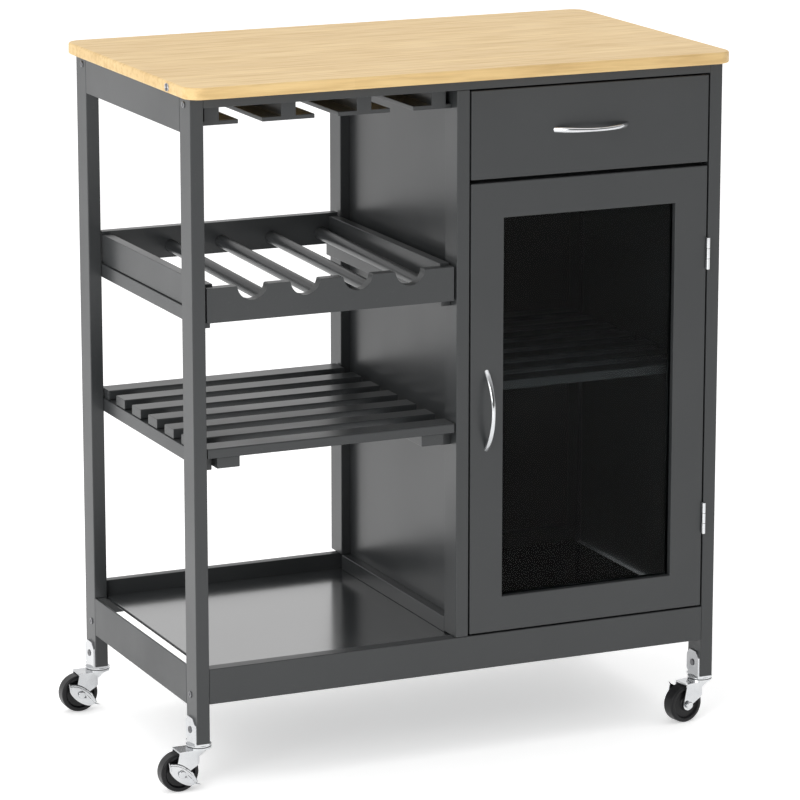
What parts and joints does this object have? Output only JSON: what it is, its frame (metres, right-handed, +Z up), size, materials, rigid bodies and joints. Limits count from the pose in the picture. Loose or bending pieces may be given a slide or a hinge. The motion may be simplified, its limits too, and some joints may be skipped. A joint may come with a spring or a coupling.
{
  "type": "kitchen island cart",
  "caption": "Rolling kitchen cart with a wooden top, a drawer, a glazed cabinet, a pull-out bottle tray, a slatted shelf and hanging rails for stemmed glasses.",
  "frame": {"origin": "centre of the cart's footprint, on the floor under the wheels", "axes": "+X to the right along the front, +Y from the front to the back, +Z up"},
  "size_m": [0.719, 0.411, 0.82],
  "materials": {
    "top_wood": "light bamboo strips, oiled",
    "frame_paint": "satin dark grey paint",
    "panel_paint": "satin dark grey paint",
    "floor_paint": "semi-gloss dark grey paint",
    "rail_steel": "satin dark grey powder coat",
    "chrome": "bright chrome plate",
    "runner_steel": "zinc plated",
    "screw_steel": "dark zinc",
    "wheel_tread": "hard black rubber",
    "door_glass": "clear float glass",
    "catch_plastic": "pale plastic with a magnet"
  },
  "bodies": {
    "frame": {"back_panel": "panel_paint", "bottom_rail_back": "frame_paint", "bottom_rail_front": "frame_paint", "bottom_rails_side": "rail_steel", "cabinet_shelf_battens": "frame_paint", "cabinet_shelf_slats": "frame_paint", "caster_kingpins": "chrome", "caster_plates": "chrome", "divider_base_rail": "frame_paint", "divider_panel": "panel_paint", "door_catch": "catch_plastic", "drawer_rail": "frame_paint", "drawer_runners": "runner_steel", "edge_plate": "chrome", "floor_panel": "floor_paint", "frame_screws": "screw_steel", "hinge_leaves_frame": "chrome", "leg_back_left": "frame_paint", "leg_back_right": "frame_paint", "leg_front_left": "frame_paint", "leg_front_right": "frame_paint", "post_back": "frame_paint", "post_front": "frame_paint", "shelf_cleats": "frame_paint", "side_panel_right": "panel_paint", "stemware_rails": "frame_paint", "top_rail_back": "frame_paint", "top_rail_front": "frame_paint", "top_rails_side": "frame_paint", "worktop": "top_wood"},
    "wine_tray": {"tray_front": "frame_paint", "tray_back": "frame_paint", "tray_sides": "frame_paint", "tray_dowels": "frame_paint"},
    "slatted_shelf": {"shelf_slats": "frame_paint", "shelf_battens": "frame_paint"},
    "drawer": {"drawer_front": "frame_paint", "drawer_sides": "frame_paint", "drawer_back": "frame_paint", "drawer_bottom": "panel_paint", "drawer_handle": "chrome", "drawer_slides": "runner_steel"},
    "door": {"door_stiles": "frame_paint", "door_rails": "frame_paint", "door_glass": "door_glass", "glass_beads": "frame_paint", "hinge_leaves_door": "chrome", "door_handle": "chrome"},
    "caster_front_left": {"caster_fork_front_left": "chrome"},
    "wheel_front_left": {"caster_wheel_front_left": "wheel_tread"},
    "lever_front_left": {"brake_lever_front_left": "chrome"},
    "caster_front_right": {"caster_fork_front_right": "chrome"},
    "wheel_front_right": {"caster_wheel_front_right": "wheel_tread"},
    "lever_front_right": {"brake_lever_front_right": "chrome"},
    "caster_back_left": {"caster_fork_back_left": "chrome"},
    "wheel_back_left": {"caster_wheel_back_left": "wheel_tread"},
    "lever_back_left": {"brake_lever_back_left": "chrome"},
    "caster_back_right": {"caster_fork_back_right": "chrome"},
    "wheel_back_right": {"caster_wheel_back_right": "wheel_tread"},
    "lever_back_right": {"brake_lever_back_right": "chrome"}
  },
  "joints": [
    {"name": "wine_tray_slide", "type": "slide", "parent": "frame", "child": "wine_tray", "axis": [0, -1, 0], "range_m": [0, 0.2]},
    {"name": "slatted_shelf_slide", "type": "slide", "parent": "frame", "child": "slatted_shelf", "axis": [0, -1, 0], "range_m": [0, 0.2]},
    {"name": "drawer_slide", "type": "slide", "parent": "frame", "child": "drawer", "axis": [0, -1, 0], "range_m": [0, 0.24]},
    {"name": "door_hinge", "type": "hinge", "parent": "frame", "child": "door", "pos_m": [0.3345, -0.1875, 0.41575], "axis": [0, 0, 1], "range_deg": [0, 170]},
    {"name": "swivel_front_left", "type": "hinge", "parent": "frame", "child": "caster_front_left", "pos_m": [-0.3105, -0.168, 0.0513], "axis": [0, 0, 1], "continuous": true},
    {"name": "roll_front_left", "type": "hinge", "parent": "caster_front_left", "child": "wheel_front_left", "pos_m": [-0.3365, -0.168, 0.023], "axis": [0, 1, 0], "continuous": true},
    {"name": "brake_front_left", "type": "hinge", "parent": "caster_front_left", "child": "lever_front_left", "pos_m": [-0.3365, -0.168, 0.023], "axis": [0, -1, 0], "range_deg": [0, 25]},
    {"name": "swivel_front_right", "type": "hinge", "parent": "frame", "child": "caster_front_right", "pos_m": [0.3435, -0.168, 0.0513], "axis": [0, 0, 1], "continuous": true},
    {"name": "roll_front_right", "type": "hinge", "parent": "caster_front_right", "child": "wheel_front_right", "pos_m": [0.31789, -0.17252, 0.023], "axis": [-0.1736, 0.9848, 0], "continuous": true},
    {"name": "brake_front_right", "type": "hinge", "parent": "caster_front_right", "child": "lever_front_right", "pos_m": [0.31789, -0.17252, 0.023], "axis": [0.1736, -0.9848, 0], "range_deg": [0, 25]},
    {"name": "swivel_back_left", "type": "hinge", "parent": "frame", "child": "caster_back_left", "pos_m": [-0.3105, 0.169, 0.0513], "axis": [0, 0, 1], "continuous": true},
    {"name": "roll_back_left", "type": "hinge", "parent": "caster_back_left", "child": "wheel_back_left", "pos_m": [-0.3365, 0.169, 0.023], "axis": [0, 1, 0], "continuous": true},
    {"name": "brake_back_left", "type": "hinge", "parent": "caster_back_left", "child": "lever_back_left", "pos_m": [-0.3365, 0.169, 0.023], "axis": [0, -1, 0], "range_deg": [0, 25]},
    {"name": "swivel_back_right", "type": "hinge", "parent": "frame", "child": "caster_back_right", "pos_m": [0.3435, 0.169, 0.0513], "axis": [0, 0, 1], "continuous": true},
    {"name": "roll_back_right", "type": "hinge", "parent": "caster_back_right", "child": "wheel_back_right", "pos_m": [0.3175, 0.169, 0.023], "axis": [0, 1, 0], "continuous": true},
    {"name": "brake_back_right", "type": "hinge", "parent": "caster_back_right", "child": "lever_back_right", "pos_m": [0.3175, 0.169, 0.023], "axis": [0, -1, 0], "range_deg": [0, 25]}
  ]
}
